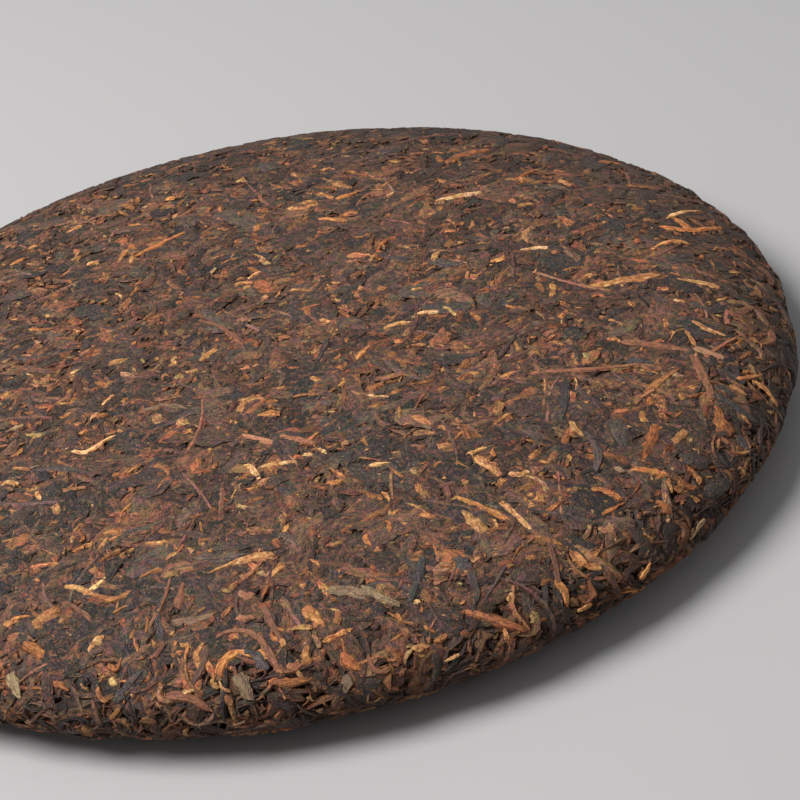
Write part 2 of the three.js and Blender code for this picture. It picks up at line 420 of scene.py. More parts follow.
def addMesh(name, points, faces):
    # faces has the four vertices of each face in one row.
    mesh = bpy.data.meshes.new(name)
    mesh.vertices.add(len(points))
    mesh.vertices.foreach_set("co", np.ascontiguousarray(points, np.float32).ravel())
    mesh.loops.add(faces.size)
    mesh.loops.foreach_set("vertex_index", np.ascontiguousarray(faces, np.int32).ravel())
    mesh.polygons.add(len(faces))
    mesh.polygons.foreach_set("loop_start", np.arange(0, faces.size, 4, dtype=np.int32))
    mesh.polygons.foreach_set("use_smooth", np.ones(len(faces), bool))
    mesh.update(calc_edges=True)
    made = bpy.data.objects.new(name, mesh)
    scene.collection.objects.link(made)
    return made


# The body: what shows in the cracks between the leaves. Each of its bumps is a strength, a length in
# millimetres and a seed. Its colour comes from crumbs and grain, and so does its relief.
body = dict(
    sectors=420, rows=210, under=0.62 * mm, underEdge=2.3 * mm, bump=0.14 * mm,
    bumps=[(1.0, 5, 8), (0.8, 2.4, 9)], roughness=0.75, shine=0.3,
    crumbScale=950, grain=(2600, 4, 0.7), crumbTone=0.75, grainTone=0.35,
    crumbRelief=0.9, reliefStrength=0.8, relief=0.4 * mm,
    stops=(0.0, 0.5, 0.85, 1.0),
    ramp=[(0.020, 0.012, 0.009), (0.044, 0.025, 0.017), (0.09, 0.045, 0.026), (0.18, 0.078, 0.038)],
)


def bodyMesh():
    # Rings of points from the dimple's middle to the crown's, under the outline by a depth that grows
    # round the edge, with short bumps, and one point on the axis at each end.
    sectors, rows = body["sectors"], body["rows"]
    s, phi = np.meshgrid(
        np.linspace(0, arc[-1], rows + 2)[1:-1], np.arange(sectors) / sectors * 2 * math.pi, indexing="ij")
    loose = looseAt(s, phi)
    flat = raised(s, phi, 0 * s)
    h = -(body["under"] + (body["underEdge"] - body["under"]) * loose) - dents(flat, loose)
    h += body["bump"] * waveSum(flat, body["bumps"]) * (1 + loose)
    grid = raised(s, phi, h)
    low, high = grid[0].mean(axis=0), grid[-1].mean(axis=0)
    low[:2] = high[:2] = 0
    points = np.concatenate([grid.reshape(-1, 3), [low, high]])
    here = np.arange(rows * sectors).reshape(rows, sectors)
    beside = np.roll(here, -1, axis=1)
    walls = np.stack([here[:-1], here[1:], beside[1:], beside[:-1]], axis=-1)[..., ::-1].reshape(-1, 4)
    lowCap = np.stack([beside[0], here[0], np.full(sectors, rows * sectors)], axis=-1)
    highCap = np.stack([beside[-1], np.full(sectors, rows * sectors + 1), here[-1]], axis=-1)
    mesh = bpy.data.meshes.new("pressedBody")
    mesh.from_pydata(points.tolist(), [], walls.tolist() + lowCap.tolist() + highCap.tolist())
    mesh.polygons.foreach_set("use_smooth", np.ones(len(mesh.polygons), bool))
    made = bpy.data.objects.new("pressedBody", mesh)
    scene.collection.objects.link(made)
    return made


def bodyMaterial():
    # Crumbs of all tones, each one cell, with grain over them.
    made, tree, shader, where = newMaterial("pressedBody")
    crumbs = node(tree, "ShaderNodeTexVoronoi", [("Vector", where), ("Scale", body["crumbScale"])])
    pick = node(tree, "ShaderNodeSeparateColor", [("Color", crumbs.outputs["Color"])])
    grain = noiseOf(tree, where, *body["grain"])
    place = mathOf(tree, "ADD", mathOf(tree, "MULTIPLY", pick.outputs["Red"], body["crumbTone"]),
                   mathOf(tree, "MULTIPLY", grain, body["grainTone"]), clamp=True)
    plug(tree, shader.inputs["Base Color"], rampOf(tree, place, body["stops"], body["ramp"]))
    plug(tree, shader.inputs["Roughness"], body["roughness"])
    plug(tree, shader.inputs["Specular IOR Level"], body["shine"])
    sunk = mathOf(tree, "MULTIPLY", crumbs.outputs["Distance"], body["crumbRelief"])
    addBump(tree, shader, mathOf(tree, "SUBTRACT", grain, sunk), body["reliefStrength"], body["relief"])
    return made


pressedBody = bodyMesh()
pressedBody.data.materials.append(bodyMaterial())
print("body:", len(pressedBody.data.polygons), "faces")


# Leaf tools. Edges over the sharp angle stay sharp, and a leaf as deep as darkAt gets the most painted
# shade. Aspect is how many times as wide as high a leaf's cell on the bake's sheet is, and the rest is the
# leaf's share of it.
leafBuild = dict(sharp=math.radians(42), darkAt=1.5 * mm)
bakeCell = dict(aspect=3, left=0.06, width=0.88, foot=0.08, height=0.84)


def leafPiece(name, look, s, phi, h, tone, hue, paintedShade, fibreUv):
    # Each leaf has stations along it, and each station four corners: the left edge, the flat top's two
    # sides and the right edge. A corner is h outside the outline at s and phi. Its painted shade grows
    # with how far under the outline it is, and the leaf's painted rim shade is added.
    count, stations = h.shape[:2]
    alongUv, acrossUv = fibreUv
    k, j = np.meshgrid(np.arange(stations - 1), np.arange(4), indexing="ij")
    k, j = k.ravel(), j.ravel()
    endK = np.array([[0, 0, 0, 0], [stations - 1] * 4])
    endJ = np.array([[0, 1, 2, 3], [3, 2, 1, 0]])
    cornerK = np.concatenate([np.stack([k, k, k + 1, k + 1], axis=-1), endK])
    cornerJ = np.concatenate([np.stack([j + 1, j, j, j + 1], axis=-1), endJ])
    each = cornerK * 4 + cornerJ % 4
    faces = (np.arange(count)[:, None, None] * stations * 4 + each).reshape(-1, 4)
    made = addMesh(name, raised(s, phi, h).reshape(-1, 3), faces)
    made.data.set_sharp_from_angle(angle=leafBuild["sharp"])
    corners = np.ones((1, stations, 4))
    values = dict(tone=tone[:, None, None] * corners, hue=hue[:, None, None] * corners,
                  paintedShadeDepth=paintedShade[:, None, None] - h / leafBuild["darkAt"])
    for key, value in values.items():
        layer = made.data.attributes.new(key, "FLOAT", "POINT")
        layer.data.foreach_set("value", np.clip(value, 0, 1).astype(np.float32).ravel())
    fibre = made.data.uv_layers.new(name="fibre")
    uv = np.stack([alongUv[:, cornerK], acrossUv[:, cornerK, cornerJ % 4]], axis=-1)
    fibre.data.foreach_set("uv", uv.astype(np.float32).ravel())
    # The bake's own map gives each leaf one cell of a square sheet, with a gap round it.
    columns = math.ceil(math.sqrt(count / bakeCell["aspect"]))
    lines = math.ceil(count / columns)
    column, line = np.arange(count) % columns, np.arange(count) // columns
    cellX = bakeCell["left"] + bakeCell["width"] * cornerK / (stations - 1)
    cellY = bakeCell["foot"] + bakeCell["height"] * cornerJ / 4
    sheetX = (column[:, None, None] + cellX) / columns
    sheetY = (line[:, None, None] + cellY) / lines
    sheet = made.data.uv_layers.new(name="OFBake")
    sheet.data.foreach_set("uv", np.stack([sheetX, sheetY], axis=-1).astype(np.float32).ravel())
    made.data.materials.append(leafMaterial(name, look))
    print(name + ":", count, "leaves,", len(faces) * 2, "triangles")
    return made


# How leaves of every kind are torn. Limits are the least and the most of what they belong to.
torn = dict(widthPower=1.3, taper=0.35, taperLimits=(0.5, 1.5), raggedLimits=(0.35, 1.8), slantPower=3)


def crossSections(draw, look, count):
    # How far each corner is from the leaf's middle line: full in the middle and less at the two torn ends,
    # unevenly. Also how far the ends are torn aslant.
    u = np.linspace(-1, 1, look["stations"])
    narrow, broad = look["width"]
    width = narrow + (broad - narrow) * draw.random(count) ** torn["widthPower"]
    blunt = draw.uniform(*look["blunt"], (count, 1))
    tips = draw.uniform(*look["tips"], (count, 2))
    tip = np.where(u < 0, tips[:, :1], tips[:, 1:])
    full = tip + (1 - tip) * (1 - np.abs(u) ** blunt)
    taper = np.clip(1 + torn["taper"] * draw.normal(size=(count, 1)) * u, *torn["taperLimits"])
    sides = 0.5 * mm * width[:, None, None] * (full * taper)[..., None]
    sides = sides * np.clip(1 + look["ragged"] * draw.normal(size=(*full.shape, 2)), *torn["raggedLimits"])
    flat = draw.uniform(*look["flat"], (count, 1))
    left, right = sides[..., 0], sides[..., 1]
    slants = draw.uniform(-1, 1, (count, 2)) * look["slant"]
    power = torn["slantPower"]
    lean = slants[:, :1] * np.maximum(-u, 0) ** power + slants[:, 1:] * np.maximum(u, 0) ** power
    return np.stack([-left, -left * flat, right * flat, right], axis=-1), lean


fibreSet = dict(perMetre=100, reach=3)


def fibreMap(draw, length, y):
    # Centimetres along the leaf and across it, from a place of its own.
    count, stations = y.shape[:2]
    reach, perMetre = fibreSet["reach"], fibreSet["perMetre"]
    alongUv = np.linspace(0, 1, stations)[None] * length[:, None] + draw.uniform(0, reach, (count, 1))
    return alongUv * perMetre, (y + draw.uniform(0, reach, (count, 1, 1))) * perMetre


seatSet = dict(tried=4, jitter=1.2 * mm, leastRadius=2 * mm)


def leafSeats(draw, look):
    # Places spread evenly by area with the golden angle, thinned by how many leaves the flats, the edge
    # and the underside have. Count is the most that stay, out of tried times as many.
    many = look["count"] * seatSet["tried"]
    total = np.concatenate([[0], np.cumsum(outR[1:] + outR[:-1])])
    s = np.interp((np.arange(many) + draw.random(many)) / many * total[-1], total, arc)
    spread = seatSet["jitter"] / np.maximum(np.interp(s, arc, outR), seatSet["leastRadius"])
    phi = np.arange(many) * goldenAngle + look["seed"] + draw.normal(size=many) * spread
    share = look["flats"] + (look["edge"] - look["flats"]) * looseAt(s, phi)
    share = share * np.where(s < arc[edgeIndex], look["below"], 1)
    kept = np.flatnonzero(draw.random(many) < share / max(look["flats"], look["edge"]))
    kept = np.sort(draw.permutation(kept)[:look["count"]])
    return s[kept], phi[kept]


# How scattered leaves of every kind lie. Headings follow a random field and chance. The values for the edge
# are how much more something is where the leaves are loose.
lying = dict(
    lengthPower=1.5, headings=1.8, headingLength=30 * mm, headingSeed=50, headingChance=1.1, slantLimit=0.7,
    edgeTilt=2, flatLift=0.3, arch=8, level=0.55, give=0.25, cover=0.02 * mm, sinkPower=4,
)
toneSet = dict(edge=0.20, edgeSpread=0.55, edgeCluster=1.2, limits=(0.02, 0.98))


def between(draw, limits, count, power=1.0):
    # From the first limit to the second, and nearer the first where the power is more than one.
    low, high = limits
    return low + (high - low) * draw.random(count) ** power


def leafSpines(draw, look, seat, loose, length):
    # The middle lines: even steps whose heading turns evenly, and back again by a sine where the leaf
    # snakes. Gives the way along the outline and round the cake, from the leaf's middle, and the heading.
    count, stations = len(length), look["stations"]
    bend = draw.normal(size=count) * (look["bend"][0] + (look["bend"][1] - look["bend"][0]) * loose)
    snake = draw.normal(size=count) * look["snake"]
    u = np.linspace(-0.5, 0.5, stations)
    field = waves(seat, lying["headingLength"], look["seed"] + lying["headingSeed"])
    heading = lying["headings"] * field + draw.normal(size=count) * lying["headingChance"]
    theta = heading[:, None] + bend[:, None] * u + snake[:, None] * np.sin(2 * math.pi * u)
    step = (length / (stations - 1))[:, None]
    mid = 0.5 * (theta[:, 1:] + theta[:, :-1])
    a = np.concatenate([np.zeros((count, 1)), np.cumsum(np.sin(mid) * step, axis=1)], axis=1)
    b = np.concatenate([np.zeros((count, 1)), np.cumsum(np.cos(mid) * step, axis=1)], axis=1)
    return a - a.mean(axis=1, keepdims=True), b - b.mean(axis=1, keepdims=True), theta, step


def leafHeights(draw, look, y, loose):
    # Each corner's height over the outline, before the dents: its leaf's depth, tilt, twist and arch and
    # its own crease. Pressing flattens what would stand more than a little above the leaf's own level.
    count, stations = y.shape[:2]
    u = np.linspace(-0.5, 0.5, stations)
    deep = (between(draw, look["deep"], count) * (1 + look["deepEdge"] * loose) * mm)[:, None, None]
    thick = (between(draw, look["thick"], count) * (1 + look["thickEdge"] * loose) * mm)[:, None, None]
    tilt = draw.normal(size=count) * look["tilt"] * (1 + lying["edgeTilt"] * loose)
    twist = draw.normal(size=count) * look["twist"] * (1 + lying["edgeTilt"] * loose)
    lift = draw.normal(size=count) * look["lift"] * (lying["flatLift"] + loose) * mm
    slope = tilt[:, None] + twist[:, None] * u
    arch = lift[:, None] * (1 - lying["arch"] * u * u)
    h = -deep + y * np.sin(slope)[..., None] + arch[..., None]
    h = h + look["crease"] * mm * draw.normal(size=h.shape)
    most = -lying["level"] * deep
    h = np.where(h > most, most + lying["give"] * (h - most), h)
    h[..., [0, 3]] -= thick
    return h - look["sink"] * mm * (np.abs(2 * u) ** lying["sinkPower"])[None, :, None]


def scatterLeaves(name, look):
    # Each leaf is bent along an arc that may turn back on itself, and pressed into the outline. Its
    # heights are under the outline, so nothing stands out of it.
    draw = np.random.default_rng(look["seed"])
    s0, phi0 = leafSeats(draw, look)
    count = len(s0)
    loose = looseAt(s0, phi0)
    seat = raised(s0, phi0, 0 * s0)

    length = between(draw, look["length"], count, lying["lengthPower"]) * mm
    y, lean = crossSections(draw, look, count)
    widest = (y[..., 3] - y[..., 0]).max(axis=1)
    y = y * np.minimum(1, look["stubby"] * length / widest)[:, None, None]
    a, b, theta, step = leafSpines(draw, look, seat, loose, length)
    theta, step = theta[..., None], step[..., None]
    ahead = np.clip(y * lean[..., None], -lying["slantLimit"] * step, lying["slantLimit"] * step)
    aside = a[..., None] + y * np.cos(theta) + ahead * np.sin(theta)
    around = b[..., None] - y * np.sin(theta) + ahead * np.cos(theta)
    s, phi = onCake(s0[:, None, None], phi0[:, None, None], aside, around)
    h = leafHeights(draw, look, y, loose)
    h = np.minimum(h - dents(raised(s, phi, 0 * h), looseAt(s, phi)), -lying["cover"])

    base, swing = look["tone"]
    spread = swing * (1 + toneSet["edgeSpread"] * loose) * draw.normal(size=count)
    cluster = (1 + toneSet["edgeCluster"] * loose) * waveSum(seat, toneFields)
    tone = np.clip(base + cluster + toneSet["edge"] * loose + spread, *toneSet["limits"])
    hue = hueAt(seat, loose, draw)
    # Scattered leaves get painted rim shade by where they sit.
    return leafPiece(name, look, s, phi, h, tone, hue, paintedRimShadeAt(seat), fibreMap(draw, length, y))


def nearestOnCake(points):
    # The arc and the angle of the outline's nearest point.
    radius = np.hypot(points[..., 0], points[..., 1])[..., None]
    gap = (radius - outR) ** 2 + (points[..., 2][..., None] - outZ) ** 2
    return arc[gap.argmin(axis=-1)], np.arctan2(points[..., 1], points[..., 0])


# How far from the eye the sight lines are searched, and in how many steps
sightSet = dict(near=0.36, far=0.62, steps=1300)


def ontoCake(pixels):
    # Where the sight lines through these pixels first meet the outline: they are inside it where z is
    # between its lower and upper heights at their radius, and never beyond its edge. Gives the arc, the
    # angle and a pixel's size.
    half = cameraSet["picture"] / 2
    inPicture = np.concatenate([(pixels - half) / focal, np.ones((*pixels.shape[:-1], 1))], axis=-1)
    sight = inPicture @ axes
    reach = np.linspace(sightSet["near"], sightSet["far"], sightSet["steps"])
    along = eye + sight[..., None, :] * reach[:, None]
    radius = np.hypot(along[..., 0], along[..., 1])
    upper = np.interp(radius, outR[edgeIndex:][::-1], outZ[edgeIndex:][::-1], right=-1.0)
    lower = np.interp(radius, outR[:edgeIndex + 1], outZ[:edgeIndex + 1], right=1.0)
    first = ((along[..., 2] < upper) & (along[..., 2] > lower)).argmax(axis=-1)
    hit = np.take_along_axis(along, first[..., None, None], axis=-2)[..., 0, :]
    return *nearestOnCake(hit), reach[first] / focal


def evenPath(path, stations):
    # Even steps along a line of pixels. Its corners are eased twice: each point goes halfway to the middle
    # of its neighbours.
    path = np.array(path, float)
    run = np.concatenate([[0], np.cumsum(np.hypot(*np.diff(path, axis=0).T))])
    even = np.linspace(0, run[-1], stations)
    eased = np.stack([np.interp(even, run, path[:, 0]), np.interp(even, run, path[:, 1])], axis=-1)
    for turn in range(2):
        eased[1:-1] = 0.25 * eased[:-2] + 0.5 * eased[1:-1] + 0.25 * eased[2:]
    return eased


# How far a single leaf's ends may be torn aslant, and how far a corner may stand out of its level
singleLimits = dict(slant=0.3 * mm, above=0.03 * mm)


def placeLeaves(name, look, leaves):
    # Single leaves that catch the eye. Each is a tone, a width and the points of a path, in pixels of the
    # picture, and is thrown from the camera onto the outline, where it lies on top of the others.
    draw = np.random.default_rng(look["seed"])
    count, stations = len(leaves), look["stations"]
    tones, widths, paths = zip(*((tone, width, path) for tone, width, *path in leaves.values()))
    s, phi, pixel = ontoCake(np.stack([evenPath(path, stations) for path in paths]))
    centres = raised(s, phi, 0 * s)
    normals = raised(s, phi, 0 * s + 1) - centres
    ahead = np.gradient(centres, axis=1)
    ahead /= np.linalg.norm(ahead, axis=-1, keepdims=True)
    aside = np.cross(normals, ahead)

    y, lean = crossSections(draw, look, count)
    width = np.array(widths) * pixel.mean(axis=1)
    y = y * (width / (y[..., 3] - y[..., 0]).max(axis=1))[:, None, None]
    shift = np.clip(y * lean[..., None], -singleLimits["slant"], singleLimits["slant"])
    flat = centres[:, :, None] + aside[:, :, None] * y[..., None] + ahead[:, :, None] * shift[..., None]
    s, phi = nearestOnCake(flat)
    u = np.linspace(-1, 1, stations)
    slope = look["tilt"] * draw.normal(size=(count, 1)) + look["twist"] * draw.normal(size=(count, 1)) * u
    h = y * slope[..., None] + look["crease"] * mm * draw.normal(size=y.shape)
    h = np.minimum(h, singleLimits["above"]) - look["deep"] * mm
    h[..., [0, 3]] -= look["thick"] * mm
    h = h - look["sink"] * mm * (np.abs(u) ** lying["sinkPower"])[None, :, None]
    h = h - dents(flat, looseAt(s, phi))

    seat = centres[:, stations // 2]
    length = np.linalg.norm(np.diff(centres, axis=1), axis=-1).sum(axis=1)
    tone, hue = np.array(tones), hueAt(seat, 0, draw)
    return leafPiece(name, look, s, phi, h, tone, hue, 0 * tone, fibreMap(draw, length, y))


# What every kind of leaf shares. Lengths, widths, depths and thicknesses of leaves are in millimetres.
surface = dict(
    fibres=24, fibreTone=1.0, folds=7, blotchTone=2.05, grainTone=1.2,
    cool=(0.77, 1.02, 1.30), warm=(1.20, 1.01, 0.94),
    casts=3.6, mauve=(1.09, 0.84, 1.18), olive=(0.91, 1.15, 0.82),
    rust=(0.20, 0.070, 0.026), rustShare=0.6, gold=(0.40, 0.20, 0.085), goldShare=0.6,
    roughness=(0.42, 0.72), shine=0.27, bump=1.0, fibreRelief=0.7, grainRelief=0.6, foldRelief=0.35,
    # Painted shade: the colour deeper leaves are mixed towards, and how much folds and grooves are darkened
    blotchRelief=1.0, paintedSunkenShade=(0.020, 0.013, 0.0105), foldPaintedShade=0.36, groovePaintedShade=0.38,
    stops=(0.0, 0.4, 0.75, 1.0), flats=1.0, edge=1.0, below=0.75, stubby=0.75, slant=0.9, thickEdge=1.2,
)

# Broad dark flakes, pressed flat: most of the surface
darkFlakes = scatterLeaves("darkFlakes", dict(
    surface, seed=11, count=3600, stations=6, edge=0.6,
    length=(4, 14), width=(1.8, 6.2), blunt=(2, 6), tips=(0.2, 0.9), ragged=0.26, flat=(0.65, 0.88),
    bend=(0.5, 1.0), snake=0.25, deep=(0.12, 0.46), deepEdge=1.4, thick=(0.07, 0.17), tilt=0.04, twist=0.07,
    lift=0.08, crease=0.045, sink=0.10, tone=(0.36, 0.25),
    stops=(0.0, 0.35, 0.7, 1.0),
    ramp=[(0.022, 0.017, 0.014), (0.056, 0.038, 0.029), (0.112, 0.063, 0.041), (0.21, 0.105, 0.056)],
))

# Brown flakes, smaller and more torn
brownFlakes = scatterLeaves("brownFlakes", dict(
    surface, seed=17, count=3400, stations=6, edge=0.6,
    length=(2.5, 10), width=(1.0, 3.8), blunt=(2, 6), tips=(0.2, 0.9), ragged=0.28, flat=(0.55, 0.82),
    bend=(0.6, 1.2), snake=0.3, deep=(0.12, 0.45), deepEdge=1.4, thick=(0.08, 0.2), tilt=0.07, twist=0.12,
    lift=0.08, crease=0.05, sink=0.12, tone=(0.42, 0.26), rustShare=0.8,
    ramp=[(0.034, 0.021, 0.015), (0.108, 0.054, 0.032), (0.21, 0.090, 0.042), (0.34, 0.14, 0.056)],
))

# Twisted brown strips
brownStrips = scatterLeaves("brownStrips", dict(
    surface, seed=23, count=3300, stations=6, flats=0.85,
    length=(4, 15), width=(0.7, 2.1), blunt=(2, 7), tips=(0.15, 0.75), ragged=0.16, flat=(0.4, 0.7),
    bend=(0.8, 1.9), snake=0.4, deep=(0.12, 0.48), deepEdge=1.6, thick=(0.15, 0.32), tilt=0.12, twist=0.3,
    lift=0.12, crease=0.035, sink=0.2, tone=(0.44, 0.24), rustShare=0.3,
    ramp=[(0.030, 0.020, 0.015), (0.092, 0.049, 0.032), (0.19, 0.082, 0.043), (0.31, 0.13, 0.056)],
))

# Rust-red and orange-brown patches
redPatches = scatterLeaves("redPatches", dict(
    surface, seed=37, count=4700, stations=4, edge=1.45,
    length=(1.2, 5.0), width=(0.6, 2.6), blunt=(2, 6), tips=(0.3, 1.0), ragged=0.3, flat=(0.5, 0.8),
    bend=(0.7, 1.4), snake=0.3, deep=(0.06, 0.40), deepEdge=1.3, thick=(0.08, 0.22), tilt=0.1, twist=0.2,
    lift=0.05, crease=0.04, sink=0.1, tone=(0.42, 0.26), rust=(0.09, 0.042, 0.026), rustShare=0.7,
    ramp=[(0.075, 0.031, 0.018), (0.22, 0.080, 0.032), (0.37, 0.145, 0.054), (0.56, 0.27, 0.10)],
))

# Crumbs and dust of all tones
leafCrumbs = scatterLeaves("leafCrumbs", dict(
    surface, seed=41, count=12500, stations=2,
    length=(0.6, 2.2), width=(0.4, 1.2), blunt=(2, 5), tips=(0.4, 1.0), ragged=0.25, flat=(0.5, 0.8),
    bend=(0.4, 0.9), snake=0.1, deep=(0.03, 0.32), deepEdge=2.0, thick=(0.1, 0.24), tilt=0.12, twist=0.2,
    lift=0.03, crease=0.03, sink=0.05, tone=(0.40, 0.26), rustShare=0.4,
    stops=(0.0, 0.45, 0.8, 1.0),
    ramp=[(0.036, 0.023, 0.016), (0.13, 0.060, 0.033), (0.28, 0.115, 0.048), (0.54, 0.27, 0.10)],
))

# Larger, looser leaves curled round the edge
edgeCurls = scatterLeaves("edgeCurls", dict(
    surface, seed=59, count=2600, stations=8, flats=0.04, below=0.9,
    length=(5, 16), width=(0.9, 3.0), blunt=(3, 9), tips=(0.2, 0.8), ragged=0.13, flat=(0.25, 0.55),
    bend=(1.0, 2.1), snake=0.5, deep=(0.03, 0.40), deepEdge=2.2, thick=(0.3, 0.6), tilt=0.12, twist=0.35,
    lift=0.25, crease=0.05, sink=0.35, tone=(0.38, 0.25), rustShare=0.5, roughness=(0.36, 0.6), shine=0.32,
    foldPaintedShade=0.3, groovePaintedShade=0.22, fibreRelief=0.5,
    stops=(0.0, 0.35, 0.7, 1.0),
    ramp=[(0.017, 0.013, 0.011), (0.060, 0.036, 0.026), (0.18, 0.080, 0.041), (0.46, 0.19, 0.070)],
))

# Thin curled threads on the edge, orange and brown
edgeThreads = scatterLeaves("edgeThreads", dict(
    surface, seed=83, count=1000, stations=6, flats=0.05,
    length=(2.5, 8), width=(0.45, 1.1), blunt=(2, 8), tips=(0.15, 0.7), ragged=0.14, flat=(0.3, 0.6),
    bend=(1.4, 2.8), snake=0.6, deep=(0.02, 0.30), deepEdge=1.6, thick=(0.2, 0.4), tilt=0.15, twist=0.4,
    lift=0.15, crease=0.03, sink=0.25, tone=(0.33, 0.28), rustShare=0.5, foldPaintedShade=0.3,
    ramp=[(0.040, 0.022, 0.015), (0.17, 0.070, 0.032), (0.37, 0.150, 0.056), (0.62, 0.31, 0.115)],
))

# Golden and tan bits
goldenBits = scatterLeaves("goldenBits", dict(
    surface, seed=67, count=1250, stations=5, edge=1.8,
    length=(1.0, 5.5), width=(0.5, 1.8), blunt=(3, 8), tips=(0.3, 0.9), ragged=0.26, flat=(0.45, 0.75),
    bend=(0.5, 1.2), snake=0.25, deep=(0.05, 0.28), deepEdge=1.4, thick=(0.12, 0.3), tilt=0.1, twist=0.25,
    lift=0.1, crease=0.03, sink=0.1, tone=(0.26, 0.24), rust=(0.20, 0.078, 0.030), rustShare=0.85,
    blotchTone=2.2, grainTone=1.1,
    cool=(0.94, 1.0, 0.94), warm=(1.12, 0.95, 0.78), mauve=(1.05, 0.92, 1.10), olive=(0.97, 1.04, 0.92),
    ramp=[(0.24, 0.094, 0.034), (0.43, 0.19, 0.066), (0.64, 0.35, 0.135), (0.80, 0.54, 0.25)],
))

# Thin stems, round and nearly straight
stems = scatterLeaves("stems", dict(
    surface, seed=73, count=400, stations=8, slant=0.2,
    length=(7, 19), width=(0.7, 1.3), blunt=(8, 16), tips=(0.4, 0.9), ragged=0.08, flat=(0.35, 0.5),
    bend=(0.4, 0.9), snake=0.15, deep=(0.04, 0.3), deepEdge=2.0, thick=(0.2, 0.4), tilt=0.05, twist=0.15,
    lift=0.1, crease=0.02, sink=0.15, tone=(0.45, 0.22), rustShare=0.2, foldRelief=0.15, foldPaintedShade=0.2,
    ramp=[(0.045, 0.026, 0.020), (0.125, 0.060, 0.041), (0.23, 0.098, 0.062), (0.34, 0.16, 0.09)],
))

# Single leaves that can be told apart in the photograph: a tone, and a width and a path in its pixels
single = dict(
    surface, stations=9, width=(1.0, 1.6), blunt=(4, 9), tips=(0.25, 0.7), ragged=0.2, flat=(0.55, 0.8),
    slant=0.5, deep=0.0, thick=0.3, tilt=0.08, twist=0.08, crease=0.03, sink=0.25,
    blotchTone=0.8, fibreTone=0.9, grainTone=0.6,
    foldPaintedShade=0.3, groovePaintedShade=0.22,
)

